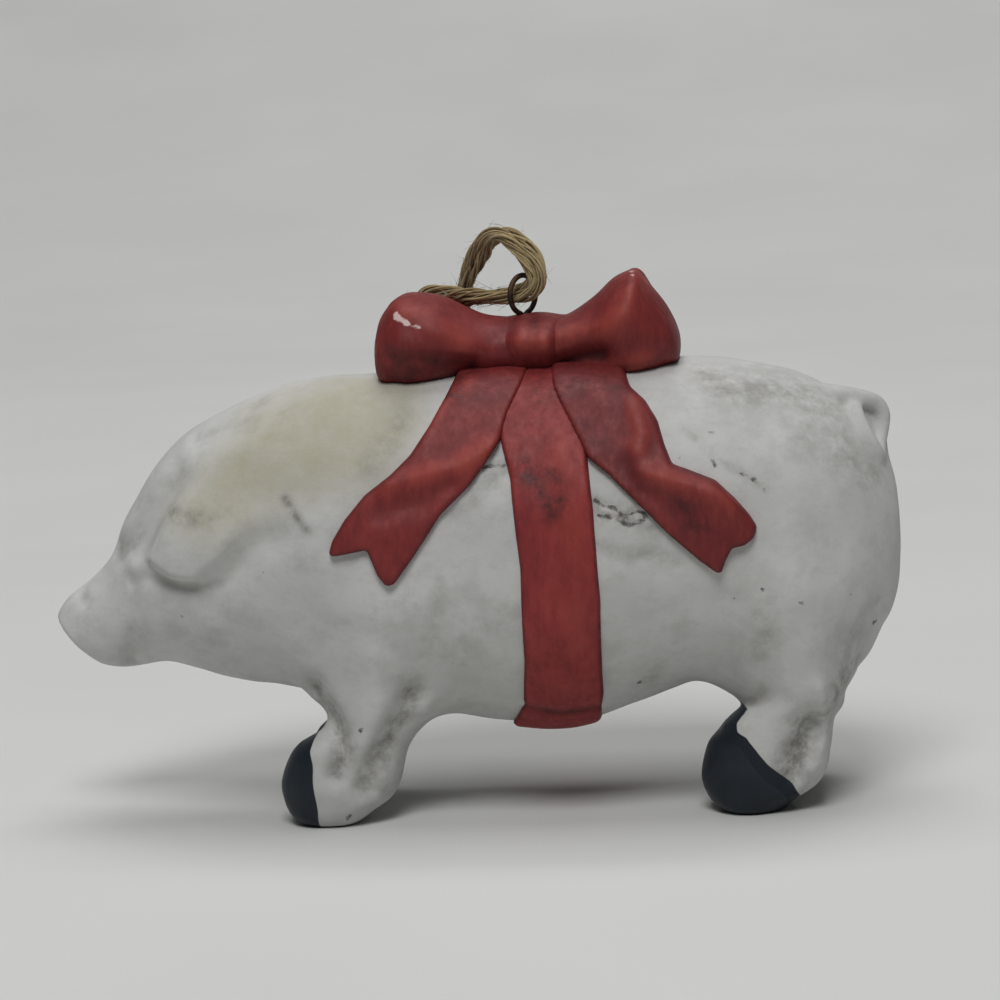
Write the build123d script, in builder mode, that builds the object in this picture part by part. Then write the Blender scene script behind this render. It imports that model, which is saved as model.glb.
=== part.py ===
from build123d import *
import os
from math import cos, hypot, pi, radians, sin, tan

# A hollow bisque pig ornament: cast body halves, ears, tail, legs and painted hooves, a moulded
# ribbon with a bow on the back, a wire eye set in the bow's knot and a loop of twine in the eye.
# Frame: millimetres, snout toward -X, near side toward -Y, up +Z, feet on z = 0.
# "Along" is the distance back from the tip of the snout, as drawn on a body whose last station
# is its rear end. Every such place stretches with body_length.

os.makedirs("parts", exist_ok=True)

# Cast body
body_length = 101.3
wall = 3.0
vent_diameter = 4.0
vent_along = 72.0
vent_reach = 18.0
# Each station: along and height of its top, along and height of its underside, half width
body_stations = [
    (0.0, 24.6, 4.8, 18.9, 4.4),
    (1.9, 27.0, 8.4, 18.4, 5.2),
    (6.8, 31.0, 13.3, 18.5, 6.8),
    (9.7, 37.0, 17.0, 17.5, 8.8),
    (14.4, 43.5, 20.5, 16.6, 11.0),
    (20.8, 48.0, 26.0, 15.7, 13.0),
    (28.8, 51.3, 32.0, 14.6, 14.8),
    (40.6, 52.3, 40.6, 12.2, 16.4),
    (52.8, 52.6, 52.8, 10.2, 17.3),
    (62.3, 52.8, 62.3, 9.6, 17.5),
    (73.0, 52.7, 73.0, 12.8, 17.2),
    (82.0, 52.2, 82.0, 13.8, 16.6),
    (90.0, 50.2, 90.0, 13.2, 14.8),
    (95.0, 47.4, 95.0, 13.8, 12.0),
    (98.3, 44.2, 98.3, 16.9, 9.0),
    (100.4, 40.0, 100.4, 21.6, 5.8),
    (101.3, 33.5, 101.3, 27.0, 2.6),
]
drawn_length = body_stations[-1][0]
cavity_first = 3
cavity_last = 14

# Ears and tail, the ear's edges in side view
ear_relief = 1.6
ear_front_edge = [(23.0, 43.4), (18.6, 40.0), (15.7, 35.6), (14.3, 32.6)]
ear_low_edge = [(14.3, 32.6), (16.8, 31.0), (19.8, 30.3), (22.2, 31.0)]
ear_rear_edge = [(22.2, 31.0), (25.0, 34.0), (26.4, 38.4), (23.0, 43.4)]
tail_stand_off = 0.1
tail_out = -2.0
tail_height = 43.6
tail_curl_radius = 3.2
tail_thickness = 2.1
tail_turn = 30.0

# Legs, each station: height, front and rear along, half width
near_leg_out = 8.0
far_leg_out = 6.0
far_leg_slimming = 1.4
far_front_setback = 0.0
far_hind_setback = 1.6
front_leg_stations = [
    (0.0, 30.0, 36.5, 3.2),
    (2.6, 27.9, 40.4, 4.5),
    (5.0, 27.4, 41.5, 5.0),
    (8.0, 28.6, 42.5, 5.2),
    (11.0, 32.2, 44.3, 5.2),
    (14.0, 33.0, 47.2, 5.5),
    (22.0, 32.0, 48.0, 4.2),
]
hind_leg_stations = [
    (0.0, 79.5, 86.0, 3.2),
    (2.6, 77.5, 89.2, 4.5),
    (5.0, 77.1, 91.2, 5.0),
    (8.0, 77.9, 92.0, 5.2),
    (11.0, 81.2, 93.2, 5.2),
    (14.0, 83.0, 94.0, 5.5),
    (22.0, 82.0, 91.6, 4.2),
]
# Edge of the hoof paint in side view, from below the sole to above the toe
front_hoof_edge = [(32.0, -1.0), (31.4, 6.0), (32.0, 11.6)]
hind_hoof_edge = [(88.6, -1.0), (87.6, 2.0), (81.8, 10.2), (81.0, 12.0)]
hoof_reach = 12.0

# Ribbon round the body and the bow on the back
ribbon_relief = 0.8
band_front = 57.3
band_width = 9.3
# Edges of the forked ribbon ends in side view, each from the bow round to the bow
front_end_upper = [(50.8, 52.0), (48.2, 47.4), (43.3, 41.8), (37.8, 36.8), (35.6, 33.0)]
front_end_fork = [(35.6, 33.0), (40.2, 33.4), (42.4, 28.8)]
front_end_lower = [(42.4, 28.8), (46.9, 34.4), (52.4, 40.3), (56.5, 46.5)]
front_end_root = [(56.5, 46.5), (59.0, 52.0), (50.8, 52.0)]
rear_end_lower = [(65.6, 43.2), (71.7, 37.2), (78.3, 30.6), (80.5, 28.8)]
rear_end_fork = [(80.5, 28.8), (82.0, 32.0), (85.0, 33.6)]
rear_end_upper = [(85.0, 33.6), (82.6, 37.6), (79.0, 40.4), (75.6, 41.9)]
rear_end_turn = [(75.6, 41.9), (74.5, 46.0), (72.4, 49.6), (69.8, 52.0)]
rear_end_root = [(69.8, 52.0), (62.0, 52.0), (65.6, 43.2)]
# Each bow station: along, underside height, top height, half thickness
front_loop_stations = [
    (40.7, 52.4, 58.2, 4.5),
    (42.4, 51.0, 60.6, 6.4),
    (45.4, 50.6, 61.7, 7.4),
    (50.5, 51.0, 60.4, 6.6),
    (57.5, 52.2, 58.0, 4.0),
]
rear_loop_stations = [
    (62.0, 52.2, 57.8, 4.0),
    (68.6, 51.0, 61.7, 6.6),
    (71.7, 50.6, 63.4, 7.2),
    (74.4, 51.0, 61.0, 6.4),
    (76.8, 52.4, 57.0, 3.8),
]
knot_stations = [
    (56.0, 51.9, 57.8, 4.6),
    (59.7, 51.0, 58.6, 6.2),
    (63.4, 51.9, 57.8, 4.6),
]

# Wire eye in the knot
wire_diameter = 0.8
eye_bore = 3.7
eye_offset = 1.4
eye_rise = 2.1
knot_middle_along, _, knot_top, _ = knot_stations[len(knot_stations) // 2]
eye_along = knot_middle_along - eye_offset
eye_height = knot_top + eye_rise
eye_turn = 36.0
stem_diameter = 1.5
stem_depth = 4.5

# Twine loop, threaded through the eye and knotted behind the far flank
cord_diameter = 2.6
cord_turn = 2.6
arch_rise = 5.9
# Share of the shorter run that each rounded corner takes up
bend_share = 0.45
# Each route point: along, distance out to the far side, height
low_strand = [(44.0, 21.2, 33.6), (43.4, 19.4, 43.6), (43.8, 15.4, 53.0), (46.2, 10.6, 59.4), (50.6, 5.6, 60.7)]
arch_strand = [
    (55.3, 2.9, 67.4),
    (51.2, 9.3, 61.4),
    (49.0, 14.4, 56.2),
    (47.8, 17.8, 49.6),
    (47.2, 20.4, 41.4),
    (46.8, 21.2, 33.6),
]
twine_knot_radius = 3.6
twine_knot_place = (45.4, 21.6, 31.6)
twine_end_length = 8.0
twine_end_spread = 3.2

sides = (("near", -1), ("far", 1))


def x_at(along):
    """X of a place given by its drawn distance back from the snout."""
    return (along / drawn_length - 0.5) * body_length


def rump_along(height):
    """Drawn distance back from the snout of the body's rear profile at a height."""
    profile = [(station[0], station[1]) for station in body_stations]
    for (along, top), (next_along, next_top) in zip(profile[-2::-1], profile[:0:-1]):
        if top >= height:
            return along + (next_along - along) * (top - height) / (top - next_top)
    return profile[-1][0]


def station_plane(station):
    """Plane across the body through a station's top and underside points."""
    top_along, top, low_along, low, _ = station
    middle = (x_at((top_along + low_along) / 2), 0, (top + low) / 2)
    return Plane(origin=middle, x_dir=(0, 1, 0), z_dir=(top - low, 0, low_along - top_along))


def body_form(stations, grow):
    """Solid loft of the body through the given stations, grown sideways and in height."""
    with BuildPart() as form:
        for station in stations:
            top_along, top, low_along, low, half_width = station
            half_height = hypot(top_along - low_along, top - low) / 2
            with BuildSketch(station_plane(station)):
                Ellipse(half_width + grow, half_height + grow)
        loft()
    return form.part


def across_form(stations):
    """Solid loft of a bow piece through ellipses that stand across the back."""
    with BuildPart() as form:
        for along, low, top, half_thickness in stations:
            middle = (x_at(along), 0, (low + top) / 2)
            with BuildSketch(Plane(origin=middle, x_dir=(0, 1, 0), z_dir=(1, 0, 0))):
                Ellipse(half_thickness, (top - low) / 2)
        loft()
    return form.part


def leg_form(stations, out, slimming):
    """Solid loft of one leg with its foot through level ellipses."""
    with BuildPart() as form:
        for height, front, rear, half_width in stations:
            middle = (x_at((front + rear) / 2), out, height)
            with BuildSketch(Plane(origin=middle)):
                Ellipse((x_at(rear) - x_at(front)) / 2 - slimming, half_width)
        loft()
    return form.part


def on_side(points):
    """Side view points, along and height, as local points of the XZ plane."""
    return [(x_at(along), height) for along, height in points]


def save(builder, name):
    """Label a finished piece and write it."""
    builder.part.label = name
    export_step(builder.part, f"parts/{name}.step")


outer = body_form(body_stations, 0)
cavity = body_form(body_stations[cavity_first:cavity_last + 1], -wall)
ribbon_skin = body_form(body_stations, ribbon_relief)
ear_skin = body_form(body_stations, ear_relief)
half_span = max(station[4] for station in body_stations) + ear_relief + ribbon_relief
cutter_span = 2 * body_length
knot_form = across_form(knot_stations)

# Body halves, split along the mould seam
for side_name, side in sides:
    with BuildPart() as body_half:
        add(outer)
        add(cavity, mode=Mode.SUBTRACT)
        with Locations((x_at(vent_along), 0, 0)):
            Cylinder(vent_diameter / 2, 2 * vent_reach, mode=Mode.SUBTRACT)
        split(bisect_by=Plane.XZ, keep=Keep.TOP if side < 0 else Keep.BOTTOM)
    save(body_half, f"body_{side_name}_half")

# Drooping ears, laid on the sides of the head
for side_name, side in sides:
    with BuildPart() as ear:
        with BuildSketch(Plane.XZ):
            with BuildLine():
                Spline(*on_side(ear_front_edge))
                Spline(*on_side(ear_low_edge))
                Spline(*on_side(ear_rear_edge))
            make_face()
        extrude(amount=-side * half_span)
        add(ear_skin, mode=Mode.INTERSECT)
        add(outer, mode=Mode.SUBTRACT)
    save(ear, f"ear_{side_name}")

# Curled tail against the rump
with BuildPart() as tail:
    curl_axis = (cos(radians(tail_turn)), -sin(radians(tail_turn)), 0)
    curl_middle = (x_at(rump_along(tail_height)) + tail_stand_off, tail_out, tail_height)
    with Locations(Plane(origin=curl_middle, z_dir=curl_axis)):
        Torus(tail_curl_radius, tail_thickness / 2)
    add(outer, mode=Mode.SUBTRACT)
save(tail, "tail")

# Legs and their painted hooves, which meet along the edge of the paint
leg_kinds = (
    ("front", front_leg_stations, front_hoof_edge, far_front_setback),
    ("hind", hind_leg_stations, hind_hoof_edge, far_hind_setback),
)
for leg_name, stations, hoof_edge, far_setback in leg_kinds:
    toe_along = min(front for _, front, _, _ in stations) - hoof_reach
    toe_corners = [(toe_along, hoof_edge[-1][1]), (toe_along, hoof_edge[0][1])]
    with BuildPart() as toe_zone:
        with BuildSketch(Plane.XZ):
            Polygon(*on_side(hoof_edge + toe_corners), align=None)
        extrude(amount=half_span, both=True)
    leg_places = (
        ("near", 0, -near_leg_out, 0),
        ("far", far_setback, far_leg_out, far_leg_slimming),
    )
    for side_name, setback, out, slimming in leg_places:
        form = Pos(X=setback) * leg_form(stations, out, slimming)
        toe = Pos(X=setback) * toe_zone.part
        with BuildPart() as hoof:
            add(form)
            add(toe, mode=Mode.INTERSECT)
            add(outer, mode=Mode.SUBTRACT)
        save(hoof, f"hoof_{leg_name}_{side_name}")
        with BuildPart() as leg:
            add(form)
            add(toe, mode=Mode.SUBTRACT)
            add(outer, mode=Mode.SUBTRACT)
        save(leg, f"leg_{leg_name}_{side_name}")

# Wire eye: a ring on a twisted stem that is set in the knot
eye_axis = Vector(cos(radians(eye_turn)), -sin(radians(eye_turn)), 0)
eye_centre = Vector(x_at(eye_along), 0, eye_height)
ring_radius = (eye_bore + wire_diameter) / 2
with BuildPart() as hanger_eye:
    with Locations(Plane(origin=eye_centre, z_dir=eye_axis)):
        Torus(ring_radius, wire_diameter / 2)
    with Locations(eye_centre - Vector(0, 0, ring_radius)):
        Cylinder(stem_diameter / 2, stem_depth, align=(Align.CENTER, Align.CENTER, Align.MAX))
save(hanger_eye, "hanger_eye")

# Bow: knot first, then the loops that come out from under it
with BuildPart() as bow_knot:
    add(knot_form)
    add(outer, mode=Mode.SUBTRACT)
    add(hanger_eye.part, mode=Mode.SUBTRACT)
save(bow_knot, "bow_knot")

bow_loops = []
for loop_name, stations in (("front", front_loop_stations), ("rear", rear_loop_stations)):
    with BuildPart() as bow_loop:
        add(across_form(stations))
        add(outer, mode=Mode.SUBTRACT)
        add(knot_form, mode=Mode.SUBTRACT)
        add(hanger_eye.part, mode=Mode.SUBTRACT)
    save(bow_loop, f"bow_loop_{loop_name}")
    bow_loops.append(bow_loop.part)

# Ribbon band right round the body under the bow
with BuildPart() as ribbon_band:
    with BuildSketch(Plane.YZ.offset(x_at(band_front))):
        Rectangle(cutter_span, cutter_span)
    extrude(amount=band_width)
    add(ribbon_skin, mode=Mode.INTERSECT)
    add(outer, mode=Mode.SUBTRACT)
    add(knot_form, mode=Mode.SUBTRACT)
    for loop in bow_loops:
        add(loop, mode=Mode.SUBTRACT)
save(ribbon_band, "ribbon_band")

# Forked ribbon ends on both flanks
for side_name, side in sides:
    with BuildPart() as ribbon_end_front:
        with BuildSketch(Plane.XZ):
            with BuildLine():
                Spline(*on_side(front_end_upper))
                Polyline(*on_side(front_end_fork))
                Spline(*on_side(front_end_lower))
                Polyline(*on_side(front_end_root))
            make_face()
        extrude(amount=-side * half_span)
        add(ribbon_skin, mode=Mode.INTERSECT)
        for solid in (outer, ribbon_band.part, bow_knot.part, *bow_loops):
            add(solid, mode=Mode.SUBTRACT)
    save(ribbon_end_front, f"ribbon_end_front_{side_name}")
    with BuildPart() as ribbon_end_rear:
        with BuildSketch(Plane.XZ):
            with BuildLine():
                Spline(*on_side(rear_end_lower))
                Polyline(*on_side(rear_end_fork))
                Spline(*on_side(rear_end_upper))
                Spline(*on_side(rear_end_turn))
                Polyline(*on_side(rear_end_root))
            make_face()
        extrude(amount=-side * half_span)
        add(ribbon_skin, mode=Mode.INTERSECT)
        for solid in (outer, ribbon_band.part, bow_knot.part, *bow_loops):
            add(solid, mode=Mode.SUBTRACT)
    save(ribbon_end_rear, f"ribbon_end_rear_{side_name}")

# Twine loop: up one strand from the knot, through the eye, over the arch and back to the knot
eye_exit = eye_centre + eye_axis * cord_turn
route_points = [Vector(x_at(along), out, height) for along, out, height in low_strand]
route_points += [eye_exit, eye_exit + Vector(0, 0, arch_rise)]
route_points += [Vector(x_at(along), out, height) for along, out, height in arch_strand]
bend_radii = []
for before, corner, after in zip(route_points, route_points[1:], route_points[2:]):
    turn = (corner - before).get_angle(after - corner)
    shorter_run = min((corner - before).length, (after - corner).length)
    bend_radii.append(bend_share * shorter_run / tan(radians(turn / 2)))
print("cord bend radii", [round(radius, 1) for radius in bend_radii])

with BuildPart() as hanger_cord:
    with BuildLine() as cord_route:
        FilletPolyline(*route_points, radius=bend_radii)
    with BuildSketch(cord_route.line ^ 0):
        Circle(cord_diameter / 2)
    sweep()
save(hanger_cord, "hanger_cord")
cord_length = sum(edge.length for edge in cord_route.edges())
cord_volume = cord_length * pi * cord_diameter ** 2 / 4
print("cord length", round(cord_length, 1), "volume ratio", round(hanger_cord.part.volume / cord_volume, 4))

# Overhand knot that ties the two strands, with its two short ends
with BuildPart() as hanger_knot:
    knot_along, knot_out, knot_height = twine_knot_place
    with Locations((x_at(knot_along), knot_out, knot_height)):
        Sphere(twine_knot_radius)
        with GridLocations(twine_end_spread, 0, 2, 1):
            Cylinder(cord_diameter / 2, twine_end_length, align=(Align.CENTER, Align.CENTER, Align.MAX))
    add(hanger_cord.part, mode=Mode.SUBTRACT)
save(hanger_knot, "hanger_knot")
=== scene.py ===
# %% [markdown]
# # A bisque pig on a loop of jute twine
# The real thing is a small ornament of cast, unglazed clay: a pig with a ribbon moulded round its
# body and painted red, black hooves, a wire eye in the bow and a loop of twine through the eye.
# The CAD model gives the frame: where each piece sits, and what turns. Here every piece gets the
# form and finish of the photograph, in metres and in that same frame.

from math import cos, pi, radians, sin

import bpy
import numpy as np
import openvdb
from mathutils import Matrix, Vector


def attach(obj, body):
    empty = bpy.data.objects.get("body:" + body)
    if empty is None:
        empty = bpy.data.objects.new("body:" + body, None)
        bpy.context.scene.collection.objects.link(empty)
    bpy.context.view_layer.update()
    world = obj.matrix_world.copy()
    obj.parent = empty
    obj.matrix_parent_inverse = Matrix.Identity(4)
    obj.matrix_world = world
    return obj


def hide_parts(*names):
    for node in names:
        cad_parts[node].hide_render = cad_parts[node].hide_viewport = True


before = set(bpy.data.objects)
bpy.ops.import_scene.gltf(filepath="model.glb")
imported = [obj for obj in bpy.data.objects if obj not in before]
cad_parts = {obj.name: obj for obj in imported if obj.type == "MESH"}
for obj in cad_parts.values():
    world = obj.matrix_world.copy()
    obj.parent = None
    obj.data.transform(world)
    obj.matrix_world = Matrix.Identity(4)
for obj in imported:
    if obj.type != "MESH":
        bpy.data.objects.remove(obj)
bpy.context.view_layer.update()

# %% [markdown]
# ## Places on the pig
# A modeller measures a figure from its nose: so many millimetres back from the snout, out from the
# mould seam and up from the floor. All shapes below are given that way, and this one helper turns
# such a place into a point of the frame.

# %% Places
MILLIMETRE = 0.001
body_length = 101.3
snout_tip = -body_length / 2


def place(along, out, height):
    """Point of the frame from millimetres back from the snout, out to the far side and up."""
    return Vector((snout_tip + along, out, height)) * MILLIMETRE


print("snout tip at", place(0, 0, 24.6))

# %% [markdown]
# ## Camera
# The photograph was taken a little from above, slightly toward the rump, and is tilted by a few
# degrees. A camera could be aimed by hand with a Track To constraint, but the tilt needs a roll as
# well, so its three axes are worked out and written straight into its matrix.

# %% Camera
camera_aim = Vector((3.65, 0, 36.45)) * MILLIMETRE
camera_turn = radians(6)
camera_rise = radians(8)
camera_tilt = radians(3.1)
camera_distance = 0.4

level_share = cos(camera_rise)
backward = Vector((sin(camera_turn) * level_share, -cos(camera_turn) * level_share, sin(camera_rise)))
level_right = Vector((cos(camera_turn), sin(camera_turn), 0))
level_up = level_right.cross(-backward)
camera_right = level_right * cos(camera_tilt) - level_up * sin(camera_tilt)
camera_up = level_up * cos(camera_tilt) + level_right * sin(camera_tilt)

camera = bpy.data.objects.new("camera", bpy.data.cameras.new("camera"))
camera.data.lens = 121.5
camera.data.sensor_width = 36
camera.data.clip_start = 0.01
camera.matrix_world = Matrix((camera_right, camera_up, backward)).transposed().to_4x4()
camera.matrix_world.translation = camera_aim + backward * camera_distance
bpy.context.scene.collection.objects.link(camera)
bpy.context.scene.camera = camera
print("camera at", camera.matrix_world.translation)

# %% [markdown]
# ## Route of the twine
# The twine is one smooth line that comes up behind the pig, goes through the wire eye and falls
# back over the far flank. Its NURBS spline takes the points of the CAD route as control points, with
# those near the eye moved a little to follow the photograph. The strands made later follow
# the points that Blender reads off that spline.

# %% Twine route
eye_along = 58.3
eye_height = 60.7
eye_turn = radians(36)
eye_axis = Vector((cos(eye_turn), -sin(eye_turn), 0))
exit_reach = 2.6
arch_setback = 0.6
arch_rise = 4.6
eye_exit = Vector((eye_along, 0, eye_height)) + eye_axis * exit_reach
arch_start = eye_exit - eye_axis * arch_setback + Vector((0, 0, arch_rise))
twine_diameter = 2.6
twine_route = [
    (44.0, 21.2, 33.6),
    (43.4, 19.4, 43.6),
    (43.8, 15.4, 53.0),
    (43.9, 10.4, 60.6),
    (50.6, 5.6, 60.2),
    tuple(eye_exit),
    tuple(arch_start),
    (55.0, 3.2, 69.0),
    (50.2, 9.3, 61.4),
    (49.0, 14.4, 56.2),
    (47.8, 17.8, 49.6),
    (47.2, 20.4, 41.4),
    (46.8, 21.2, 33.6),
]


def spline_points(control_points):
    """Points in millimetres along a smooth NURBS line that the control points pull into shape."""
    curve = bpy.data.curves.new("route", "CURVE")
    curve.dimensions = "3D"
    curve.resolution_u = 16
    spline = curve.splines.new("NURBS")
    spline.points.add(len(control_points) - 1)
    for point, where in zip(spline.points, control_points):
        point.co = (*where, 1)
    spline.order_u = 3
    spline.use_endpoint_u = True
    holder = bpy.data.objects.new("route", curve)
    bpy.context.scene.collection.objects.link(holder)
    line = bpy.data.meshes.new_from_object(holder)
    points = np.array([vertex.co for vertex in line.vertices])
    bpy.data.objects.remove(holder)
    bpy.data.curves.remove(curve)
    bpy.data.meshes.remove(line)
    return points


twine_line = spline_points(twine_route)
twine_length = np.linalg.norm(np.diff(twine_line, axis=0), axis=1).sum()
print("twine line", len(twine_line), "points,", round(twine_length, 1), "mm")

# %% [markdown]
# ## Clay as a field
# Soft cast clay has no seams between body, leg and ear, so joined meshes would look wrong. A
# sculptor's way is better: hold the clay as a field of numbers, the distance of each point of a
# fine lattice from the surface. Fields blend into each other, take a pressed groove or a raised
# fold by adding a number, and at the end become a mesh where the distance is nought. Voxel
# remeshing works the same way, but the lattice lets each fold be drawn where the photograph has it.

# %% Lattice
step = 0.35
lattice_low = np.floor(np.array([-2.0, -20.3, -1.8]) / step).astype(int)
lattice_high = np.ceil(np.array([104.0, 20.3, 66.5]) / step).astype(int)
lattice_shape = tuple(lattice_high - lattice_low)
along = ((lattice_low[0] + np.arange(lattice_shape[0])) * step).astype(np.float32)[:, None, None]
out = ((lattice_low[1] + np.arange(lattice_shape[1])) * step).astype(np.float32)[None, :, None]
height = ((lattice_low[2] + np.arange(lattice_shape[2])) * step).astype(np.float32)[None, None, :]
band_steps = 12
lattice_scale = openvdb.createLinearTransform(voxelSize=step)
print("lattice", lattice_shape)


# %% Forms from rings
def smooth_rows(rows, per_gap=10):
    """More rows between the given ones, on a curve that runs through each of them."""
    rows = np.asarray(rows, float)
    ends = np.vstack([2 * rows[0] - rows[1], rows, 2 * rows[-1] - rows[-2]])
    t = np.linspace(0, 1, per_gap, endpoint=False)[:, None]
    runs = []
    for a, b, c, d in zip(ends, ends[1:], ends[2:], ends[3:]):
        straight = 2 * b + (c - a) * t
        bend = (2 * a - 5 * b + 4 * c - d) * t**2 + (3 * b - a - 3 * c + d) * t**3
        runs.append((straight + bend) / 2)
    return np.vstack(runs + [rows[-1:]])


def ring_faces(count, around):
    """Quads that join one ring of points to the next."""
    start = np.arange(count - 1)[:, None] * around
    here = np.arange(around)[None, :]
    following = (here + 1) % around
    quads = np.stack([start + here, start + following, start + around + following, start + around + here], -1)
    return quads.reshape(-1, 4)


def loft_field(rings):
    """Distance field of the closed form through the rings, in millimetres."""
    count, around = rings.shape[:2]
    points = np.vstack([rings.reshape(-1, 3), rings[0].mean(0), rings[-1].mean(0)])
    here = np.arange(around)
    following = (here + 1) % around
    last = (count - 1) * around
    caps = [
        np.stack([np.full(around, count * around), following, here], -1),
        np.stack([np.full(around, count * around + 1), last + here, last + following], -1),
    ]
    grid = openvdb.FloatGrid.createLevelSetFromPolygons(
        points.astype(np.float32),
        triangles=np.vstack(caps).astype(np.uint32),
        quads=ring_faces(count, around).astype(np.uint32),
        transform=lattice_scale,
        halfWidth=band_steps,
    )
    field = np.empty(lattice_shape, np.float32)
    grid.copyToArray(field, ijk=tuple(int(n) for n in lattice_low))
    return field


def meld(one, other, reach):
    """Two fields joined with a soft fillet of about that reach."""
    share = np.clip(0.5 + 0.5 * (other - one) / reach, 0, 1)
    return other + (one - other) * share - reach * share * (1 - share)


def keep_both(one, other, reach):
    """What two fields have in common, with its edge rounded by about that reach."""
    return -meld(-one, -other, reach)


def soften(field, passes):
    """The field with its sharp edges eased."""
    eased = field.copy()
    for _ in range(passes):
        for axis in range(3):
            view = np.moveaxis(eased, axis, 0)
            view[1:-1] = (view[:-2] + 2 * view[1:-1] + view[2:]) / 4
    return eased


def smooth_step(low, high, value):
    """0 below low, 1 above high and a smooth rise between."""
    share = np.clip((value - low) / (high - low), 0, 1)
    return share * share * (3 - 2 * share)


# %% [markdown]
# ## Body
# The cast body is egg shaped, with a head that tapers to a flat snout. Each ring of this loft goes
# through one point of the back's outline and one of the belly's, leaning forward at the head as
# the face does. Stations like these shape the CAD body too. Here the belly keeps closer to the
# photograph, and one more station ahead gives the snout something to be cut off flat from later.

# %% Body
# Along and height of the top, along and height of the underside, half width
body_stations = [
    (-0.8, 23.7, 3.9, 18.2, 4.2),
    (0.0, 24.6, 4.8, 18.9, 4.4),
    (1.9, 27.0, 8.4, 18.4, 5.2),
    (6.8, 31.0, 13.3, 18.5, 6.8),
    (9.7, 37.0, 17.0, 17.5, 8.8),
    (14.4, 43.5, 20.5, 16.6, 11.0),
    (20.8, 48.0, 26.0, 15.7, 13.0),
    (28.8, 51.3, 32.0, 14.6, 14.8),
    (40.6, 52.3, 40.6, 13.0, 16.4),
    (52.8, 52.6, 52.8, 10.5, 17.3),
    (62.3, 52.8, 62.3, 9.6, 17.5),
    (73.0, 52.7, 73.0, 13.4, 17.2),
    (77.0, 52.5, 77.0, 14.4, 16.9),
    (81.0, 52.3, 81.0, 12.5, 16.6),
    (83.4, 51.9, 83.4, 9.8, 16.3),
    (86.0, 51.4, 86.0, 9.2, 15.8),
    (90.0, 50.2, 90.0, 10.9, 14.8),
    (95.0, 47.4, 95.0, 15.6, 12.0),
    (98.3, 43.6, 98.3, 19.4, 9.0),
    (100.4, 39.2, 100.4, 22.4, 5.8),
    (101.3, 33.5, 101.3, 27.0, 2.6),
]
turn = np.linspace(0, 2 * pi, 72, endpoint=False)[:, None]


def oval(middle, one, other):
    """A ring of points round a middle, from its two half axes."""
    return np.array(middle) + np.cos(turn) * np.array(one) + np.sin(turn) * np.array(other)


body_rings = []
for top_along, top, low_along, low, half_width in smooth_rows(body_stations):
    middle = ((top_along + low_along) / 2, 0, (top + low) / 2)
    rise = ((top_along - low_along) / 2, 0, (top - low) / 2)
    body_rings.append(oval(middle, (0, half_width, 0), rise))
body = loft_field(np.array(body_rings))
print("body field", body.shape, round(float(body.min()), 2), round(float(body.max()), 2))

# %% [markdown]
# ## Legs
# The legs are short and stout and flow into the body without a line. They are lofts through level
# rings, melded into the body with a wide fillet, and the feet keep the raised heel of the photograph.
# The far legs hide behind the near ones there, so they are slimmer and stand nearer the seam.

# %% Legs
near_leg_out = 8.0
far_leg_out = 6.0
# Height, front and rear along, half width
front_leg_stations = [
    (0.0, 30.4, 36.4, 3.0),
    (0.7, 29.0, 37.4, 3.9),
    (1.6, 28.2, 38.6, 4.4),
    (2.9, 27.7, 40.6, 4.7),
    (5.0, 27.4, 41.7, 5.0),
    (8.0, 28.6, 42.5, 5.2),
    (9.6, 30.0, 43.2, 5.2),
    (11.0, 32.6, 44.2, 5.2),
    (12.4, 33.3, 45.3, 5.3),
    (14.0, 32.8, 46.8, 5.5),
    (16.0, 31.8, 47.6, 5.4),
    (22.0, 30.6, 48.0, 4.2),
]
hind_leg_stations = [
    (0.0, 79.9, 85.8, 3.0),
    (0.7, 78.6, 86.6, 3.9),
    (1.7, 77.8, 87.7, 4.4),
    (3.2, 77.2, 90.3, 4.7),
    (5.0, 77.1, 91.2, 5.0),
    (8.0, 77.9, 91.7, 5.2),
    (9.6, 79.2, 91.8, 5.2),
    (10.7, 80.2, 91.9, 5.2),
    (12.1, 82.2, 92.2, 5.3),
    (13.2, 84.0, 92.5, 5.5),
    (15.0, 84.8, 92.8, 5.5),
    (22.0, 84.0, 92.0, 4.2),
]
# The far hind leg has a hock that shows behind the near one
hock_levels = (8.2, 9.6, 14.0, 20.0)
hock_reach = (0.0, 1.1, 1.0, 0.0)
far_hind_stations = [
    (level, front, rear + np.interp(level, hock_levels, hock_reach), half_width)
    for level, front, rear, half_width in hind_leg_stations
]
leg_fillet = 4.6
# The hind hooves meet the belly in a sharp notch, and flow into it behind
notch_fillet = 0.7
notch_share = smooth_step(83.0, 88.0, along)
hind_fillet = notch_fillet + (leg_fillet - notch_fillet) * notch_share
far_leg_slimming = 1.4
far_setbacks = {"front": 0.0, "hind": 1.6}


def leg_rings(stations, leg_out, setback, slimming):
    """Level rings of one leg that stands so far out from the seam."""
    rings = []
    for level, front, rear, half_width in smooth_rows(stations):
        middle = ((front + rear) / 2 + setback, leg_out, level)
        rings.append(oval(middle, ((rear - front) / 2 - slimming, 0, 0), (0, half_width, 0)))
    return np.array(rings)


pig = body
leg_pairs = {
    "front": (front_leg_stations, front_leg_stations, leg_fillet),
    "hind": (hind_leg_stations, far_hind_stations, hind_fillet),
}
for leg_name, (near_stations, far_stations, fillet) in leg_pairs.items():
    near_leg = leg_rings(near_stations, -near_leg_out, 0, 0)
    far_leg = leg_rings(far_stations, far_leg_out, far_setbacks[leg_name], far_leg_slimming)
    for rings in (near_leg, far_leg):
        pig = meld(pig, loft_field(rings), fillet)
pig = soften(pig, 1)
print("pig field", round(float(pig.min()), 2))

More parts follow.
